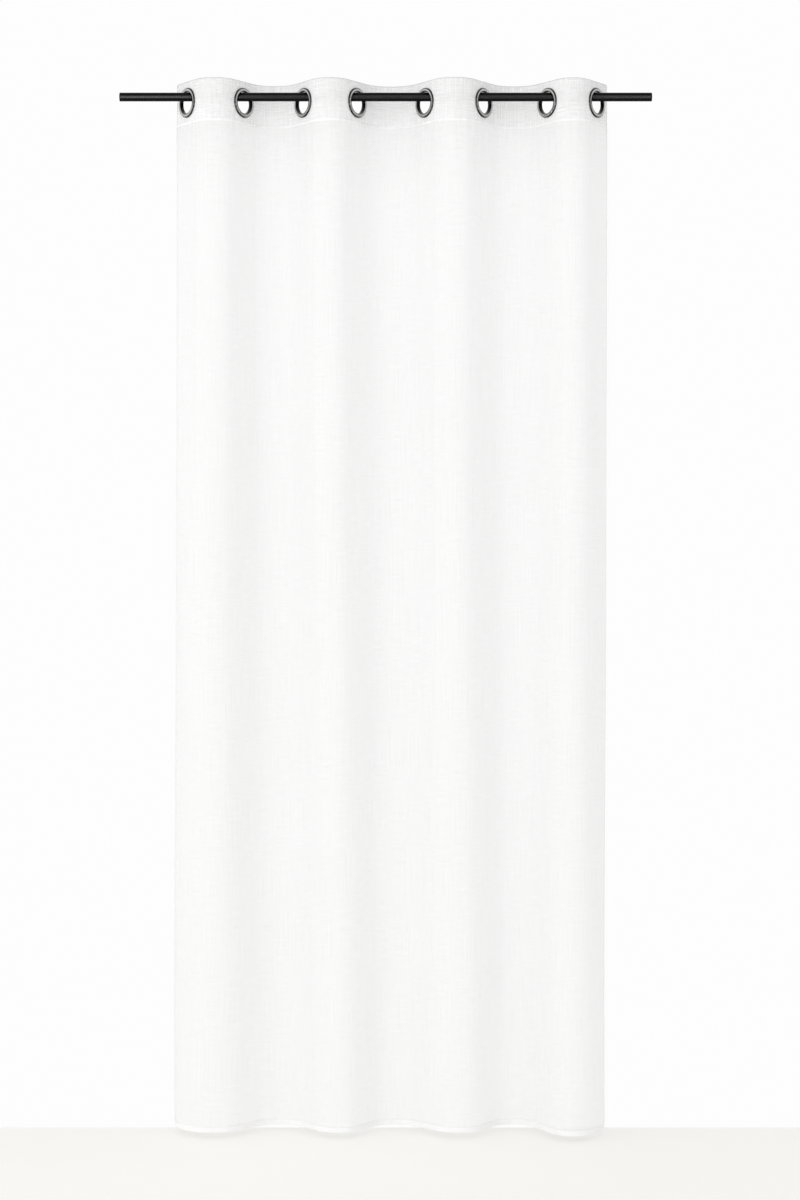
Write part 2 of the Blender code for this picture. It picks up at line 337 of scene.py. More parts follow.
def hem_stretch(start, end, is_end):
    """The hem in plan between two crests, or from a crest out to a side edge."""
    share = np.linspace(0, 1, HEM_SAMPLES)
    if is_end:
        along, away = np.sin(share * pi / 2), 1 - np.cos(share * pi / 2)
    else:
        along = share + HEM_FOLD_ROUNDNESS * np.sin(2 * pi * share) / (2 * pi)
        away = (1 - np.cos(pi * share)) / 2
    return np.column_stack((start.x + (end.x - start.x) * along,
                            start.depth + (end.depth - start.depth) * away))


@lru_cache(maxsize=None)
def cloth_lines():
    """Distance along the cloth, and the heading's and the hem's points in plan there."""
    runs, crests = heading_runs()
    heading = walked(runs, -pi / 2)
    along = lengths_along(heading)
    at_first = [np.interp(FIRST_EYELET, along, heading[:, axis]) for axis in (0, 1)]
    heading += np.array((EYELET_X[0], 0.0)) - at_first
    stops = [0.0] + crests + [along[-1]]
    stretches = [hem_stretch(HEM_FOLDS[0], HEM_LEFT_END, True)[::-1]]
    stretches += [hem_stretch(a, b, False) for a, b in zip(HEM_FOLDS, HEM_FOLDS[1:])]
    stretches += [hem_stretch(HEM_FOLDS[-1], HEM_RIGHT_END, True)]
    hem = np.empty_like(heading)
    for first, last, stretch in zip(stops, stops[1:], stretches):
        inside = (along >= first) & (along <= last)
        reach = lengths_along(stretch)
        share = (along[inside] - first) / (last - first)
        for axis in (0, 1):
            hem[inside, axis] = np.interp(share * reach[-1], reach, stretch[:, axis])
    return along, heading, hem


def cloth_width():
    return cloth_lines()[0][-1]


def eyelet_alongs():
    """Distance of every eyelet's centre along the cloth."""
    runs, _ = heading_runs()
    arcs = [length for length, turn in runs if turn][1:-1]
    return FIRST_EYELET + np.concatenate(([0.0], np.cumsum([2 * FLAT_HALF + arc for arc in arcs])))


def soft_step(low, high, value):
    share = np.clip((value - low) / (high - low), 0, 1)
    return share * share * (3 - 2 * share)


def relief(along, z):
    """How far creases and unevenness move the cloth towards the room, in metres."""
    out = np.zeros_like(along)
    for crease in CREASES:
        ends = min(CREASE_FADE, (crease.top - crease.bottom) / 3)
        fade = soft_step(crease.top, crease.top - ends, z)
        fade *= soft_step(crease.bottom, crease.bottom + ends, z)
        out += crease.depth * fade * np.exp(-((along - crease.along) / crease.width) ** 2)
    free = float(soft_step(HEADING_BOTTOM, HEADING_BOTTOM - RIPPLE_GROWTH, z))
    near = float(soft_step(HEADING_BOTTOM - GATHER_REACH, HEADING_BOTTOM - GATHER_FULL, z)
                 * soft_step(HEADING_BOTTOM + GATHER_ABOVE, HEADING_BOTTOM, z))
    for strength, ripples in ((free, RIPPLES), (near, GATHERS)):
        for ripple in ripples:
            phase = 2 * pi * (along / ripple.across + z / ripple.down) + ripple.start
            out += ripple.height * strength * np.sin(phase)
    return out


def cloth_points(along, z, out):
    """Places at distances along the cloth and at one height, moved out from its middle.

    Returns the points, and the directions towards the room and along the cloth there.
    """
    line, heading, hem = cloth_lines()
    plan = heading + (hem - heading) * soft_step(HEADING_BOTTOM, BOTTOM_EDGE, z)
    slope = np.gradient(plan, axis=0)
    slope /= np.hypot(slope[:, 0], slope[:, 1])[:, None]
    x, y = (np.interp(along, line, plan[:, axis]) for axis in (0, 1))
    across = np.column_stack([np.interp(along, line, slope[:, axis]) for axis in (0, 1)])
    room = np.column_stack((across[:, 1], -across[:, 0]))
    away = out + relief(along, z)
    points = np.column_stack((x + room[:, 0] * away, y + room[:, 1] * away, np.full_like(x, z)))
    return points, room, across


# Modelling helpers

def deselect_all():
    if bpy.context.object and bpy.context.object.mode != "OBJECT":
        bpy.ops.object.mode_set(mode="OBJECT")
    bpy.ops.object.select_all(action="DESELECT")


def make_active(piece):
    deselect_all()
    piece.select_set(True)
    bpy.context.view_layer.objects.active = piece


def settle(piece):
    """Puts the piece's place and turn into its mesh."""
    make_active(piece)
    bpy.ops.object.transform_apply(location=True, rotation=True, scale=True)


def new_piece(name, mesh, surface):
    piece = bpy.data.objects.new(name, mesh)
    bpy.context.collection.objects.link(piece)
    mesh.materials.append(surface)
    return piece


def grid_piece(name, places, maps, surface, keep):
    """A smooth sheet through a grid of places, with a UV map for each named grid of marks."""
    rows, columns = places.shape[:2]
    first = np.arange(rows - 1)[:, None] * columns + np.arange(columns - 1)
    faces = np.stack((first, first + columns, first + columns + 1, first + 1), axis=-1)
    faces = faces.reshape(-1, 4)[keep.reshape(-1)]
    mesh = bpy.data.meshes.new(name)
    mesh.from_pydata(places.reshape(-1, 3).tolist(), [], faces.tolist())
    for label, marks in maps.items():
        layer = mesh.uv_layers.new(name=label)
        layer.data.foreach_set("uv", marks.reshape(-1, 2)[faces.reshape(-1)].reshape(-1))
    shape = bmesh.new()
    shape.from_mesh(mesh)
    loose = [corner for corner in shape.verts if not corner.link_faces]
    bmesh.ops.delete(shape, geom=loose, context="VERTS")
    shape.to_mesh(mesh)
    shape.free()
    mesh.shade_smooth()
    return new_piece(name, mesh, surface)


# Material helpers

class Nodes:
    """Adds and links nodes of one material or world."""

    def __init__(self, owner):
        owner.use_nodes = True
        owner.node_tree.nodes.clear()
        self.owner, self.tree = owner, owner.node_tree

    def add(self, kind, settings=None, **inputs):
        node = self.tree.nodes.new(kind)
        for name, value in (settings or {}).items():
            setattr(node, name, value)
        for name, value in inputs.items():
            socket = node.inputs[int(name[1:])] if name[0] == "i" and name[1:].isdigit() \
                else node.inputs[name.replace("_", " ")]
            if isinstance(value, bpy.types.Node):
                value = value.outputs[0]
            if isinstance(value, bpy.types.NodeSocket):
                self.tree.links.new(value, socket)
            else:
                socket.default_value = value
        return node

    def math(self, operation, *values):
        inputs = {f"i{index}": value for index, value in enumerate(values)}
        return self.add("ShaderNodeMath", {"operation": operation}, **inputs).outputs[0]

    def mapped(self, scale, uv="cloth"):
        source = self.add("ShaderNodeUVMap", {"uv_map": uv}).outputs["UV"] if uv \
            else self.add("ShaderNodeTexCoord").outputs["Object"]
        return self.add("ShaderNodeMapping", Vector=source, Scale=scale).outputs["Vector"]

    def noise(self, scale, uv="cloth", detail=3.0, roughness=0.55):
        return self.add("ShaderNodeTexNoise", Vector=self.mapped(scale, uv), Scale=1.0,
                        Detail=detail, Roughness=roughness).outputs["Fac"]

    def ranged(self, value, low, high, start=0.0, end=1.0):
        inputs = {"i0": value, "i1": start, "i2": end, "i3": low, "i4": high}
        return self.add("ShaderNodeMapRange", **inputs).outputs[0]

    def spread(self, noise, start, end, low=0.3, high=0.7):
        """A noise's usual values spread from a start to an end."""
        return self.ranged(noise, start, end, low, high)

    def tinted(self, colour, amount):
        """A colour made lighter or darker by an amount near 1."""
        return self.add("ShaderNodeVectorMath", {"operation": "SCALE"}, i0=tuple(colour), Scale=amount)

    def bump(self, strength, distance, height):
        """Directions of a surface that is roughened by a height."""
        return self.add("ShaderNodeBump", Strength=strength, Distance=distance, Height=height)

    def hung_place(self):
        """Distance along the cloth, and height, as it hangs."""
        place = self.add("ShaderNodeSeparateXYZ", Vector=self.mapped((1, 1, 1), "hung"))
        return place.outputs["X"], place.outputs["Y"]

    def principled(self, colour, rough, bump, **inputs):
        return self.add("ShaderNodeBsdfPrincipled", Base_Color=colour, Roughness=rough,
                        Normal=bump, **inputs)

    def mixed(self, share, first, second):
        return self.add("ShaderNodeMixShader", i0=share, i1=first, i2=second)

    def finish(self, shader):
        self.add("ShaderNodeOutputMaterial", Surface=shader)
        return self.owner


def inside_band(nodes, value, low, high, edge=SOFT_EDGE):
    """1 where a value lies between two limits, else 0, with a short soft edge."""
    above = nodes.ranged(value, 0, 1, low - edge, low + edge)
    below = nodes.ranged(value, 1, 0, high - edge, high + edge)
    return nodes.math("MULTIPLY", above, below)


def turned_parts(nodes):
    """1 on the heading, and 1 where a hem or the heading's edge is turned and stitched."""
    along, z = nodes.hung_place()
    hem = sizes().side_hem
    side_hems = nodes.math("SUBTRACT", 1.0, inside_band(nodes, along, hem, cloth_width() - hem))
    bottom_hem = inside_band(nodes, z, -FAR, BOTTOM_EDGE + sizes().bottom_hem)
    low_edge = inside_band(nodes, z, HEADING_BOTTOM, HEADING_BOTTOM + LOW_EDGE)
    doubled = nodes.math("MAXIMUM", side_hems, nodes.math("MAXIMUM", bottom_hem, low_edge))
    return inside_band(nodes, z, HEADING_BOTTOM, FAR), doubled


def seam_lines(nodes):
    """1 on the narrow lines along the stitching, where painted shade darkens the cloth."""
    along, z = nodes.hung_place()
    side = sizes().side_hem - HEM_SEAM
    bottom = BOTTOM_EDGE + sizes().bottom_hem - HEM_SEAM
    lines = ((z, TOP_EDGE - TOP_SEAM), (z, HEADING_BOTTOM + LOW_SEAM), (z, bottom),
             (along, side), (along, cloth_width() - side))
    painted_seam_shade = 0.0
    for value, middle in lines:
        line = inside_band(nodes, value, middle - SEAM_HALF, middle + SEAM_HALF, SEAM_SOFT_EDGE)
        painted_seam_shade = nodes.math("MAXIMUM", painted_seam_shade, line)
    return painted_seam_shade


def painted_shade_under_heading(nodes):
    """Painted shade that greys the cloth just under the heading, where the small gathers are."""
    _, z = nodes.hung_place()
    parts = [nodes.ranged(z, 0.0, shade, HEADING_BOTTOM - reach, HEADING_BOTTOM)
             for shade, reach in ((GATHER_PAINTED_SHADE, GATHER_REACH), (UNDER_SEAM_PAINTED_SHADE, UNDER_SEAM_REACH))]
    return nodes.math("MULTIPLY", inside_band(nodes, z, -FAR, HEADING_BOTTOM),
                      nodes.math("ADD", *parts))


def slub_strength(nodes, heading):
    """How much the slubs show: most on the heading, and more just under it than lower down."""
    _, z = nodes.hung_place()
    near = nodes.ranged(z, 1.0, 1.7, HEADING_BOTTOM - GATHER_REACH, HEADING_BOTTOM)
    return nodes.math("MULTIPLY_ADD", heading, 1.5, near)


def heading_painted_shade(nodes, heading):
    """Painted shade and light on the heading: whiter at its lower edge, greyer towards its top and
    greyest on its top fold.
    """
    _, z = nodes.hung_place()
    middle = HEADING_BOTTOM + HEADING_MIDDLE
    lower = nodes.ranged(z, HEADING_LOW_PAINTED_LIGHT, 0.0, HEADING_BOTTOM, middle)
    upper = nodes.ranged(z, 0.0, HEADING_TOP_PAINTED_SHADE, middle, TOP_EDGE - 20 * MM)
    fold = nodes.ranged(z, 0.0, TOP_FOLD_PAINTED_SHADE, TOP_EDGE - 2.2 * MM, TOP_EDGE - 0.9 * MM)
    slope = nodes.math("MULTIPLY", nodes.math("ADD", lower, upper), heading)
    return nodes.math("ADD", slope, fold)


def thread_waves(nodes, pitch):
    """Waves of the threads across and down the cloth, each 0 in a gap and 1 on a thread."""
    place = nodes.add("ShaderNodeSeparateXYZ", Vector=nodes.mapped((1, 1, 1)))
    waves = []
    for axis, scale in (("X", (140, 30, 1)), ("Y", (30, 140, 1))):
        yarn = nodes.math("MULTIPLY_ADD", nodes.noise(scale), 3.5 * pitch, place.outputs[axis])
        wave = nodes.math("SINE", nodes.math("MULTIPLY", yarn, 2 * pi / pitch))
        waves.append(nodes.math("MULTIPLY_ADD", wave, 0.5, 0.5))
    return waves


def sheer_surface():
    """White voile: fine plain weave with long upright slubs, partly see-through."""
    nodes = Nodes(bpy.data.materials.new("sheer_voile"))
    warp, weft = thread_waves(nodes, sizes().thread_pitch)
    heading, doubled = turned_parts(nodes)
    upright_slubs = nodes.noise((360, 7, 1))
    level_slubs = nodes.noise((22, 480, 1))
    patches = nodes.noise((14, 3, 1), detail=2.0)
    uneven = nodes.math("ADD", nodes.spread(upright_slubs, -0.024, 0.024),
                        nodes.spread(level_slubs, -0.023, 0.023))
    uneven = nodes.math("MULTIPLY", uneven, slub_strength(nodes, heading))

    # Share of light that passes between the threads
    warp_gap, weft_gap = (nodes.math("SUBTRACT", 1.0, wave) for wave in (warp, weft))
    gap = nodes.math("MULTIPLY", warp_gap, weft_gap)
    see_through = colours().see_through
    see = nodes.math("MULTIPLY_ADD", gap, 2.2 * see_through, 0.45 * see_through)
    see = nodes.math("SUBTRACT", see, uneven)
    see = nodes.math("MULTIPLY", see, nodes.math("MULTIPLY_ADD", heading, 0.7, 1.0))
    see = nodes.math("MULTIPLY", see, nodes.ranged(doubled, 1.0, 0.15))
    see = nodes.math("MAXIMUM", see, 0.0)

    # How light or grey the cloth is
    crossing = nodes.math("MULTIPLY", warp, weft)
    uneven = nodes.math("ADD", uneven, nodes.ranged(crossing, -0.05, 0.05))
    shade = nodes.math("ADD", nodes.math("MULTIPLY_ADD", uneven, 0.25, 1.0),
                       nodes.spread(patches, -0.004, 0.004, 0.35, 0.65))
    white = nodes.math("MAXIMUM", doubled, nodes.math("MULTIPLY", heading, 0.8))
    shade = nodes.math("MULTIPLY_ADD", white, DOUBLED_WHITENESS, shade)
    # Painted shade along the seams, under the heading, towards the heading's top and on its top fold;
    # painted light towards the heading's lower edge
    painted_seam_shade = nodes.math("MULTIPLY", seam_lines(nodes), SEAM_PAINTED_SHADE)
    for greyer in (painted_seam_shade, painted_shade_under_heading(nodes), heading_painted_shade(nodes, heading)):
        shade = nodes.math("SUBTRACT", shade, greyer)
    colour = nodes.tinted(colours().cloth, shade)

    height = nodes.math("ADD", nodes.math("MULTIPLY", crossing, 0.5),
                        nodes.math("MULTIPLY", upright_slubs, 0.8))
    bump = nodes.bump(0.25, 0.12 * MM, height)
    face = nodes.principled(colour, 0.85, bump)
    face.inputs["Sheen Weight"].default_value = 0.15
    face.inputs["Sheen Roughness"].default_value = 0.5
    face.inputs["Specular IOR Level"].default_value = 0.25
    through = nodes.add("ShaderNodeBsdfTranslucent", Color=colour, Normal=bump)
    glow = nodes.math("MULTIPLY_ADD", heading, -0.05, nodes.ranged(doubled, 0.28, 0.12))
    clear = nodes.add("ShaderNodeBsdfTransparent")
    return nodes.finish(nodes.mixed(see, nodes.mixed(glow, face, through), clear))


def net_surface():
    """The heading's stiff net: crossed threads with small square gaps."""
    nodes = Nodes(bpy.data.materials.new("heading_net"))
    warp, weft = thread_waves(nodes, sizes().net_pitch)
    threads = nodes.math("MAXIMUM", warp, weft)
    cover = nodes.ranged(threads, 0.25, 1.0, 0.4, 0.7)
    wear = nodes.noise((60, 60, 1))
    colour = nodes.tinted(colours().net, nodes.spread(wear, 0.97, 1.03))
    bump = nodes.bump(0.5, 0.3 * MM, threads)
    face = nodes.principled(colour, 0.8, bump)
    through = nodes.add("ShaderNodeBsdfTranslucent", Color=colour, Normal=bump)
    clear = nodes.add("ShaderNodeBsdfTransparent")
    return nodes.finish(nodes.mixed(cover, clear, nodes.mixed(0.3, face, through)))


def thread_surface():
    """White spun sewing thread with a fine twist."""
    nodes = Nodes(bpy.data.materials.new("sewing_thread"))
    twist = nodes.noise((900, 900, 900), uv=None, detail=2.0)
    colour = nodes.tinted(colours().thread, nodes.spread(twist, 0.94, 1.04))
    face = nodes.principled(colour, 0.6, nodes.bump(0.4, 0.08 * MM, twist))
    face.inputs["Sheen Weight"].default_value = 0.2
    return nodes.finish(face)


def metal_surface():
    """Polished dark nickel with faint smears and fine scratches; a painted reflection darkens its rims
    and bore and lightens its crown.
    """
    nodes = Nodes(bpy.data.materials.new("dark_nickel"))
    smears = nodes.noise((70, 70, 70), uv=None)
    scratches = nodes.noise((1800, 1800, 140), uv=None, detail=4.0)
    # Painted reflection and shade: dark at the rims and in the bore, bright on the crown
    polish = nodes.add("ShaderNodeAttribute", {"attribute_name": "polish"}).outputs["Fac"]
    smears_and_painted_reflection = nodes.math("MULTIPLY", nodes.spread(smears, 0.92, 1.08),
                      nodes.ranged(polish, 0.035, 1.0, 0.33, 0.97))
    colour = nodes.tinted(colours().metal, smears_and_painted_reflection)
    rough = nodes.math("ADD", nodes.spread(smears, 0.14, 0.22),
                       nodes.spread(scratches, -0.02, 0.04, low=0.4))
    bump = nodes.bump(0.06, 0.05 * MM, scratches)
    return nodes.finish(nodes.principled(colour, rough, bump, Metallic=1.0))


def rod_surface():
    """Semi-gloss black paint with a very fine skin and a few rubbed streaks."""
    nodes = Nodes(bpy.data.materials.new("rod_black_paint"))
    skin = nodes.noise((900, 900, 900), uv=None, detail=2.0)
    rubbed = nodes.noise((12, 160, 160), uv=None)
    colour = nodes.tinted(colours().rod, nodes.spread(rubbed, 0.8, 1.5, 0.4, 0.75))
    rough = nodes.spread(rubbed, 0.09, 0.14)
    face = nodes.principled(colour, rough, nodes.bump(0.12, 0.05 * MM, skin))
    face.inputs["Specular IOR Level"].default_value = 0.07
    return nodes.finish(face)


def floor_surface():
    """Plain pale floor with a barely uneven tone."""
    nodes = Nodes(bpy.data.materials.new("pale_floor"))
    tone = nodes.noise((1.2, 1.2, 1.2), uv=None, detail=2.0)
    colour = nodes.tinted(colours().floor, nodes.spread(tone, 0.99, 1.01))
    return nodes.finish(nodes.add("ShaderNodeBsdfPrincipled", Base_Color=colour, Roughness=0.7))


# Cloth pieces

def spaced(start, end, spacing):
    return np.linspace(start, end, max(2, round(abs(end - start) / spacing) + 1))


def half_turn():
    """Inner angles of a fold's half circle."""
    return pi * (np.arange(FOLD_ARC) + 0.5) / FOLD_ARC


def panel_columns():
    """Distance along the cloth and depth behind its face for every column, hems included."""
    width, hem = cloth_width(), sizes().side_hem
    back = spaced(hem, SIDE_FOLD, HEM_COLUMN)
    turn = half_turn()[::-1]
    main = spaced(SIDE_FOLD, width - SIDE_FOLD, COLUMN)
    side = np.concatenate((back, SIDE_FOLD - SIDE_FOLD * np.sin(turn)))
    side_depth = np.concatenate((np.full(len(back), 2 * SIDE_FOLD), SIDE_FOLD * (1 - np.cos(turn))))
    along = np.concatenate((side, main, width - side[::-1]))
    behind = np.concatenate((side_depth, np.zeros(len(main)), side_depth[::-1]))
    return along, behind


Row = namedtuple("Row", "z angle fold")


def panel_rows():
    """Every row of the cloth: its height, how far round a fold it is, and that fold's size.

    The rows start at the heading's lower edge behind, go over the top edge, down the
    face, round the bottom edge and up to the top of the bottom hem behind.
    """
    turn = half_turn()
    top, low = TOP_EDGE - TOP_FOLD, BOTTOM_EDGE + HEM_FOLD
    hem_top = low + sizes().bottom_hem
    hem = spaced(hem_top, low, sizes().bottom_hem / HEM_ROWS)
    face = np.concatenate((spaced(top, HEADING_BOTTOM, HEADING_ROW),
                           spaced(HEADING_BOTTOM, hem_top, PANEL_ROW)[1:-1], hem))
    rows = [Row(z, -pi, TOP_FOLD) for z in spaced(HEADING_BOTTOM, top, HEADING_ROW)]
    rows += [Row(top, -angle, TOP_FOLD) for angle in turn[::-1]]
    rows += [Row(z, 0, HEM_FOLD) for z in face]
    rows += [Row(low, angle, HEM_FOLD) for angle in turn]
    rows += [Row(z, pi, HEM_FOLD) for z in hem[::-1]]
    return rows


def clear_of_eyelets(along, heights):
    """Which grid faces lie outside the cloth's round holes."""
    middle_along = (along[:-1] + along[1:]) / 2
    middle_z = (heights[:-1] + heights[1:]) / 2
    keep = np.ones((len(middle_z), len(middle_along)), dtype=bool)
    for centre in eyelet_alongs():
        away = np.hypot(middle_along[None, :] - centre, middle_z[:, None] - EYELET_Z)
        keep &= away > CLOTH_HOLE
    return keep


def round_holes(along, z, keep):
    """Moves the corners on a hole's edge onto its circle, at one height."""
    moved_along, moved_z = along.copy(), np.full_like(along, z)
    for centre in eyelet_alongs():
        reach = np.hypot(along - centre, z - EYELET_Z)
        near = keep & (reach < CLOTH_HOLE + 1.5 * COLUMN) & (reach > MERGE_DISTANCE)
        grow = CLOTH_HOLE / np.where(near, reach, 1.0)
        moved_along = np.where(near, centre + (along - centre) * grow, moved_along)
        moved_z = np.where(near, EYELET_Z + (z - EYELET_Z) * grow, moved_z)
    return moved_along, moved_z


def hole_rims(keep):
    """Grid corners that touch both a kept face and a hole."""
    rows, columns = keep.shape
    kept = np.zeros((rows + 1, columns + 1), dtype=int)
    cut = np.zeros_like(kept)
    for down in (0, 1):
        for right in (0, 1):
            kept[down:down + rows, right:right + columns] += keep
            cut[down:down + rows, right:right + columns] += ~keep
    return (kept > 0) & (cut > 0)


def hung_cloth(name, along, behind, rows, out, surface):
    """A sheet of cloth with its round eyelet holes, hung in the curtain's folds."""
    heights = np.array([row.z for row in rows])
    keep = clear_of_eyelets(along, heights)
    rims = hole_rims(keep)
    places, laid_flat, hung = [], [], []
    run = 0.0
    for index, row in enumerate(rows):
        moved_along, moved_z = round_holes(along, row.z, rims[index])
        depth = row.fold - behind
        deep = out - row.fold + depth * cos(row.angle)
        line = np.empty((len(along), 3))
        for z in np.unique(moved_z):
            same = moved_z == z
            line[same] = cloth_points(moved_along[same], z, deep[same])[0]
        line[:, 2] -= depth * sin(row.angle)
        if places:
            run += float(np.median(np.linalg.norm(line - places[-1], axis=1)))
        places.append(line)
        laid_flat.append(np.column_stack((moved_along, np.full(len(along), run))))
        hung.append(np.column_stack((moved_along, moved_z)))
    maps = {"cloth": np.array(laid_flat), "hung": np.array(hung)}
    return grid_piece(name, np.array(places), maps, surface, keep)


# Stitches

def stitch_shape():
    """One stitch along X: a slim bead of four sides that dips into the cloth at both ends."""
    length, thick = sizes().stitch_length, sizes().thread_thickness
    corners = []
    for section in STITCH:
        reach = section.width * thick / 2
        for angle in (pi / 4, 3 * pi / 4, 5 * pi / 4, 7 * pi / 4):
            corners.append((section.share * length, reach * cos(angle) * STITCH_FLATNESS,
                            section.lift * thick + reach * sin(angle)))
    faces = [(3, 2, 1, 0)]
    for ring in range(len(STITCH) - 1):
        for side in range(4):
            a, b = ring * 4 + side, ring * 4 + (side + 1) % 4
            faces.append((a, b, b + 4, a + 4))
    faces.append((12, 13, 14, 15))
    return np.array(corners), np.array(faces)


def stitched(name, spots):
    """One mesh of stitches at spots of a place and the directions along, across and out."""
    corners, faces = stitch_shape()
    length, width, height = corners[:, :1], corners[:, 1:2], corners[:, 2:]
    places = [place + length * run + width * side + height * out
              for place, run, side, out in spots]
    count = len(corners)
    all_faces = np.concatenate([faces + index * count for index in range(len(places))])
    mesh = bpy.data.meshes.new(name)
    mesh.from_pydata(np.vstack(places).tolist(), [], all_faces.tolist())
    mesh.shade_smooth()
    shape = bmesh.new()
    shape.from_mesh(mesh)
    bmesh.ops.recalc_face_normals(shape, faces=shape.faces)
    shape.to_mesh(mesh)
    shape.free()
    return new_piece(name, mesh, bpy.data.materials["sewing_thread"])


def seam_across(z, outs):
    """Stitch spots along the cloth at one height, on the layers at the given distances out."""
    along = np.arange(SEAM_END, cloth_width() - SEAM_END, sizes().stitch_pitch)
    up = np.array((0.0, 0.0, 1.0))
    for out in outs:
        points, room, across = cloth_points(along, z, np.full_like(along, out))
        face = 1 if out > TAPE_OUT else -1
        for place, to_room, run in zip(points, room, across):
            yield place, np.append(run, 0.0), up, np.append(to_room, 0.0) * face


def seam_down(along, outs):
    """Stitch spots down the cloth at one distance from its left edge."""
    start, end = HEADING_BOTTOM - SEAM_GAP, BOTTOM_EDGE + sizes().bottom_hem
    down = np.array((0.0, 0.0, -1.0))
    place_along = np.array((along,))
    for out in outs:
        face = 1 if out > 0 else -1
        for z in np.arange(start, end, -sizes().stitch_pitch):
            points, room, across = cloth_points(place_along, z, np.array((out,)))
            yield points[0], down, np.append(across[0], 0.0), np.append(room[0], 0.0) * face


# Eyelets

# A point of an eyelet's outline, and how bright the painted reflection on the metal is there
Turned = namedtuple("Turned", "radius height polish")


def turned_ring(name, profile, surface):
    """A ring modelled from a circle, extruded from point to point of its outline."""
    deselect_all()
    radius, height, _ = profile[0]
    bpy.ops.mesh.primitive_circle_add(vertices=RING_SIDES, radius=radius, fill_type="NOTHING",
                                      location=(0, 0, height))
    ring = bpy.context.object
    ring.name = ring.data.name = name
    settle(ring)
    bpy.ops.object.mode_set(mode="EDIT")
    bpy.ops.mesh.select_mode(type="EDGE")
    bpy.ops.mesh.select_all(action="SELECT")
    for new_radius, new_height, _ in profile[1:]:
        rise = (0, 0, new_height - height)
        bpy.ops.mesh.extrude_edges_move(TRANSFORM_OT_translate={"value": rise})
        grow = new_radius / radius
        bpy.ops.transform.resize(value=(grow, grow, 1), center_override=(0, 0, 0))
        radius, height = new_radius, new_height
    bpy.ops.mesh.select_all(action="DESELECT")
    bpy.ops.mesh.select_non_manifold()
    bpy.ops.mesh.bridge_edge_loops()
    bpy.ops.mesh.select_all(action="SELECT")
    bpy.ops.mesh.remove_doubles(threshold=MERGE_DISTANCE)
    bpy.ops.mesh.normals_make_consistent(inside=False)
    bpy.ops.object.mode_set(mode="OBJECT")
    bpy.ops.object.shade_smooth_by_angle(angle=radians(38))
    # Each corner takes the painted reflection of its nearest outline point
    polish = ring.data.attributes.new("polish", "FLOAT", "POINT")
    outline = np.array(profile)
    for corner, mark in zip(ring.data.vertices, polish.data):
        place = np.array((np.hypot(corner.co.x, corner.co.y), corner.co.z))
        mark.value = outline[np.argmin(((outline[:, :2] - place) ** 2).sum(axis=1)), 2]
    ring.data.materials.append(surface)
    return ring


def dome(inner, outer, seat, crown, lip, steps=9):
    """Outline of a rounded flange from its outer rim over the crown to its inner lip, with a painted
    reflection brightest on the crown and darkest at the rims.
    """
    middle, half = (inner + outer) / 2, (outer - inner) / 2
    points = []
    for step in range(steps + 1):
        angle = pi * step / steps
        base = seat + (lip - seat) * (1 - cos(angle)) / 2
        height = base + (crown - base) * sin(angle) ** 0.75
        points.append(Turned(middle + half * cos(angle), height, polish=sin(angle) ** 3))
    return points


def eyelet_front_outline():
    seat, crown, lip = 0.75 * MM, 4.35 * MM, 2.3 * MM
    neck_end, chamfer = -4.4 * MM, 0.2 * MM
    # Little painted reflection on the neck and in the bore, so they show dark as painted shade
    neck = [Turned(NECK_RADIUS, neck_end, polish=0.2), Turned(NECK_RADIUS, seat, polish=0.0)]
    bore = [Turned(EYELET_BORE, 0.0, polish=0.08),
            Turned(EYELET_BORE, neck_end + chamfer, polish=0.1),
            Turned(EYELET_BORE + chamfer, neck_end, polish=0.2)]
    return neck + dome(EYELET_BORE, EYELET_RADIUS, seat, crown, lip) + bore


def eyelet_back_outline():
    inner = NECK_RADIUS + 0.2 * MM
    seat, crown, lip = -1.7 * MM, -4.4 * MM, -4.0 * MM
    # No painted reflection on the washer's seat, so it shows dark
    return [Turned(inner, seat, polish=0.0)] + dome(inner, EYELET_RADIUS, seat, crown, lip)


def placed_copies(model, prefix, node_prefix):
    """Copies of a ring at every eyelet, turned as its cloth is, each standing for its node."""
    for index, x in enumerate(EYELET_X):
        make_active(model)
        bpy.ops.object.duplicate(linked=False)
        copy = bpy.context.object
        copy.name = copy.data.name = f"{prefix}_{index + 1}"
        copy.rotation_euler = (pi / 2, 0, -EYELET_TURN if index % 2 == 0 else EYELET_TURN)
        copy.location = (x, 0, EYELET_Z)
        settle(copy)
        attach(copy, "root")
        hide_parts(f"{node_prefix}_{index + 1}")
    bpy.data.objects.remove(model, do_unlink=True)


# Operators

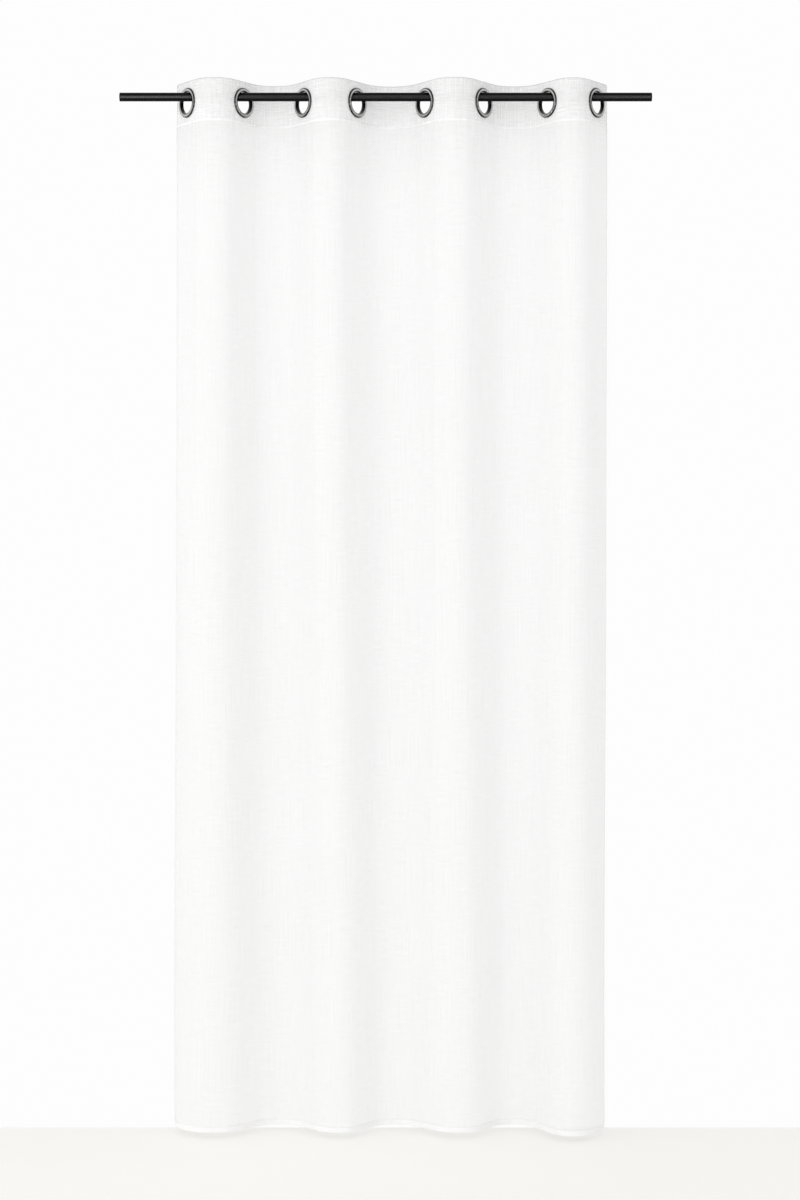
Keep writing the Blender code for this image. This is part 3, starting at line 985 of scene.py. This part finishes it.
class CURTAIN_OT_add_rod(bpy.types.Operator):
    """Model the plain round rod with its closed, softly rounded ends"""
    bl_idname = "curtain.add_rod"
    bl_label = "Rod"

    def select_ends(self, rod):
        bpy.ops.mesh.select_all(action="DESELECT")
        shape = bmesh.from_edit_mesh(rod.data)
        for face in shape.faces:
            face.select_set(len(face.verts) > 4)
        bmesh.update_edit_mesh(rod.data)

    def execute(self, context):
        deselect_all()
        between_bands = ROD_LENGTH - 2 * ROD_END_BAND
        bpy.ops.mesh.primitive_cylinder_add(vertices=RING_SIDES, radius=ROD_RADIUS,
                                            depth=between_bands, end_fill_type="NGON")
        rod = context.object
        rod.name = rod.data.name = "curtain_rod"
        bpy.ops.object.mode_set(mode="EDIT")
        bpy.ops.mesh.select_mode(type="FACE")
        self.select_ends(rod)
        bpy.ops.mesh.extrude_region_move()
        longer = (1, 1, ROD_LENGTH / between_bands)
        bpy.ops.transform.resize(value=longer, center_override=(0, 0, 0))
        bpy.ops.mesh.bevel(offset=ROD_ROUNDING, segments=4, affect="EDGES")
        self.select_ends(rod)
        bpy.ops.mesh.inset(thickness=ROD_END_RIM)
        bpy.ops.mesh.select_all(action="SELECT")
        bpy.ops.mesh.normals_make_consistent(inside=False)
        bpy.ops.object.mode_set(mode="OBJECT")
        rod.rotation_euler = (0, pi / 2, 0)
        settle(rod)
        bpy.ops.object.shade_smooth_by_angle(angle=radians(30))
        rod.data.materials.append(rod_surface())
        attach(rod, "root")
        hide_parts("rod")
        return {"FINISHED"}


class CURTAIN_OT_add_eyelets(bpy.types.Operator):
    """Model the two halves of an eyelet and set them through the heading, eight times"""
    bl_idname = "curtain.add_eyelets"
    bl_label = "Eyelets"

    def execute(self, context):
        metal = metal_surface()
        for name, node, outline in (("eyelet_face", "eyelet_front", eyelet_front_outline()),
                                    ("eyelet_washer", "eyelet_back", eyelet_back_outline())):
            placed_copies(turned_ring(name, outline, metal), name, node)
        return {"FINISHED"}


class CURTAIN_OT_add_heading(bpy.types.Operator):
    """Make the stiff net that lies inside the heading, with its round holes"""
    bl_idname = "curtain.add_heading"
    bl_label = "Heading net"

    def execute(self, context):
        along = spaced(TAPE_INSET, cloth_width() - TAPE_INSET, COLUMN)
        heights = spaced(HEADING_BOTTOM + 0.4 * MM, TAPE_HIGH.z - 1.2 * MM, HEADING_ROW)[::-1]
        rows = [Row(z, 0, 0.0) for z in heights]
        net = hung_cloth("heading_net", along, np.zeros_like(along), rows, TAPE_OUT, net_surface())
        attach(net, "root")
        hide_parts("heading_tape")
        cloth_width() - 2 * TAPE_INSET
        return {"FINISHED"}


class CURTAIN_OT_add_panel(bpy.types.Operator):
    """Make the sheer cloth with its heading turned over the net and its hems turned back"""
    bl_idname = "curtain.add_panel"
    bl_label = "Sheer cloth"

    def execute(self, context):
        along, behind = panel_columns()
        cloth = hung_cloth("sheer_cloth", along, behind, panel_rows(), CLOTH_OUT, sheer_surface())
        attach(cloth, "root")
        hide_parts("curtain_panel")
        cut_width = cloth_width() + 2 * sizes().side_hem
        stitches = [item for item in bpy.data.objects if item.name.endswith("_stitches")]
        return {"FINISHED"}


class CURTAIN_OT_add_stitching(bpy.types.Operator):
    """Sew the heading, the side hems and the bottom hem with rows of small stitches"""
    bl_idname = "curtain.add_stitching"
    bl_label = "Stitching"

    def execute(self, context):
        thread_surface()
        back, hem_back, side_back = (CLOTH_OUT - 2 * fold for fold in (TOP_FOLD, HEM_FOLD, SIDE_FOLD))
        seams = {
            "heading_stitches": [spot for z in (TOP_EDGE - TOP_SEAM, HEADING_BOTTOM + LOW_SEAM)
                                 for spot in seam_across(z, (CLOTH_OUT, back))],
            "bottom_hem_stitches": list(seam_across(BOTTOM_EDGE + sizes().bottom_hem - HEM_SEAM,
                                                    (CLOTH_OUT, hem_back))),
            "side_hem_stitches": [spot for along in (sizes().side_hem - HEM_SEAM,
                                                     cloth_width() - sizes().side_hem + HEM_SEAM)
                                  for spot in seam_down(along, (CLOTH_OUT, side_back))],
        }
        for name, spots in seams.items():
            seam = stitched(name, spots)
            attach(seam, "root")
        return {"FINISHED"}


class CURTAIN_OT_add_stage(bpy.types.Operator):
    """Set the pale floor, the soft lights, the background and the camera"""
    bl_idname = "curtain.add_stage"
    bl_label = "Stage"

    camera_distance = 5.80
    camera_x = 0.0327
    camera_z = -1.153
    camera_lens = 75.9
    floor_front = 7.0
    floor_half_width = 6.0
    soft_light = 0.925
    brighter_side = (-0.07, -0.14, 0.0)

    def add_floor(self, context):
        deselect_all()
        back = sizes().floor_back
        depth = self.floor_front + back
        bpy.ops.mesh.primitive_plane_add(size=1, location=(0, back - depth / 2,
                                                           BOTTOM_EDGE - sizes().floor_gap))
        floor = context.object
        floor.name = floor.data.name = "stage_floor"
        floor.scale = (2 * self.floor_half_width, depth, 1)
        settle(floor)
        floor.data.materials.append(floor_surface())

    def add_light(self, lamp, aim):
        light = bpy.data.lights.new(lamp.name, "AREA")
        light.shape = "RECTANGLE"
        light.size, light.size_y = lamp.size
        light.energy = lamp.power
        placed = bpy.data.objects.new(lamp.name, light)
        bpy.context.collection.objects.link(placed)
        placed.location = lamp.place
        direction = Vector(aim) - Vector(lamp.place)
        placed.rotation_euler = direction.to_track_quat("-Z", "Y").to_euler()
        return placed

    def add_strips(self):
        """Lamps that light only the rod and the eyelets, and show only in their gloss."""
        shining = bpy.data.collections.new("shining_pieces")
        for piece in bpy.data.objects:
            if piece.name.startswith(("curtain_rod", "eyelet_face", "eyelet_washer")):
                shining.objects.link(piece)
        for strip in STRIPS:
            placed = self.add_light(strip, (0, 0, 0))
            placed.light_linking.receiver_collection = shining
            placed.visible_diffuse = placed.visible_transmission = placed.visible_camera = False

    def add_background(self, context):
        context.scene.world = bpy.data.worlds.new("studio_background")
        nodes = Nodes(context.scene.world)
        seen = nodes.add("ShaderNodeBackground", Color=(*colours().background, 1))
        place = nodes.add("ShaderNodeTexCoord").outputs["Generated"]
        towards = nodes.add("ShaderNodeVectorMath", {"operation": "DOT_PRODUCT"}, i0=place,
                            i1=self.brighter_side).outputs["Value"]
        strength = nodes.math("ADD", towards, self.soft_light)
        lighting = nodes.add("ShaderNodeBackground", Color=(1, 1, 1, 1), Strength=strength)
        from_camera = nodes.add("ShaderNodeLightPath").outputs["Is Camera Ray"]
        nodes.add("ShaderNodeOutputWorld", Surface=nodes.mixed(from_camera, lighting, seen))

    def add_camera(self, context):
        data = bpy.data.cameras.new("camera")
        data.lens = self.camera_lens
        camera = bpy.data.objects.new("camera", data)
        context.collection.objects.link(camera)
        camera.location = (self.camera_x, -self.camera_distance, self.camera_z)
        camera.rotation_euler = (pi / 2, 0, 0)
        context.scene.camera = camera

    def execute(self, context):
        middle = (0, 0, self.camera_z)
        self.add_floor(context)
        self.add_light(FRONT_SOFTBOX, middle)
        self.add_light(LEFT_SOFTBOX, middle).data.use_shadow = False
        self.add_strips()
        self.add_background(context)
        self.add_camera(context)
        context.scene.view_settings.view_transform = "Standard"
        return {"FINISHED"}


class CURTAIN_PT_pieces(bpy.types.Panel):
    """Lists the curtain's pieces, sizes and colours"""
    bl_idname = "CURTAIN_PT_pieces"
    bl_label = "Sheer eyelet curtain"
    bl_space_type = "VIEW_3D"
    bl_region_type = "UI"
    bl_category = "Curtain"

    def draw(self, context):
        for operator in OPERATORS:
            self.layout.operator(operator.bl_idname)
        for group in (context.scene.curtain_sizes, context.scene.curtain_colours):
            for name in group.__annotations__:
                self.layout.prop(group, name)


OPERATORS = (
    CURTAIN_OT_add_rod,
    CURTAIN_OT_add_eyelets,
    CURTAIN_OT_add_heading,
    CURTAIN_OT_add_stitching,
    CURTAIN_OT_add_panel,
    CURTAIN_OT_add_stage,
)


CLASSES = (CurtainSizes, CurtainColours, *OPERATORS, CURTAIN_PT_pieces)


def register():
    for cls in CLASSES:
        bpy.utils.register_class(cls)
    bpy.types.Scene.curtain_sizes = PointerProperty(type=CurtainSizes)
    bpy.types.Scene.curtain_colours = PointerProperty(type=CurtainColours)


def unregister():
    del bpy.types.Scene.curtain_sizes
    del bpy.types.Scene.curtain_colours
    for cls in reversed(CLASSES):
        bpy.utils.unregister_class(cls)


def main():
    register()
    bpy.ops.curtain.add_rod()
    bpy.ops.curtain.add_eyelets()
    bpy.ops.curtain.add_heading()
    bpy.ops.curtain.add_stitching()
    bpy.ops.curtain.add_panel()
    bpy.ops.curtain.add_stage()
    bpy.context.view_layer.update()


if __name__ == "__main__":
    main()
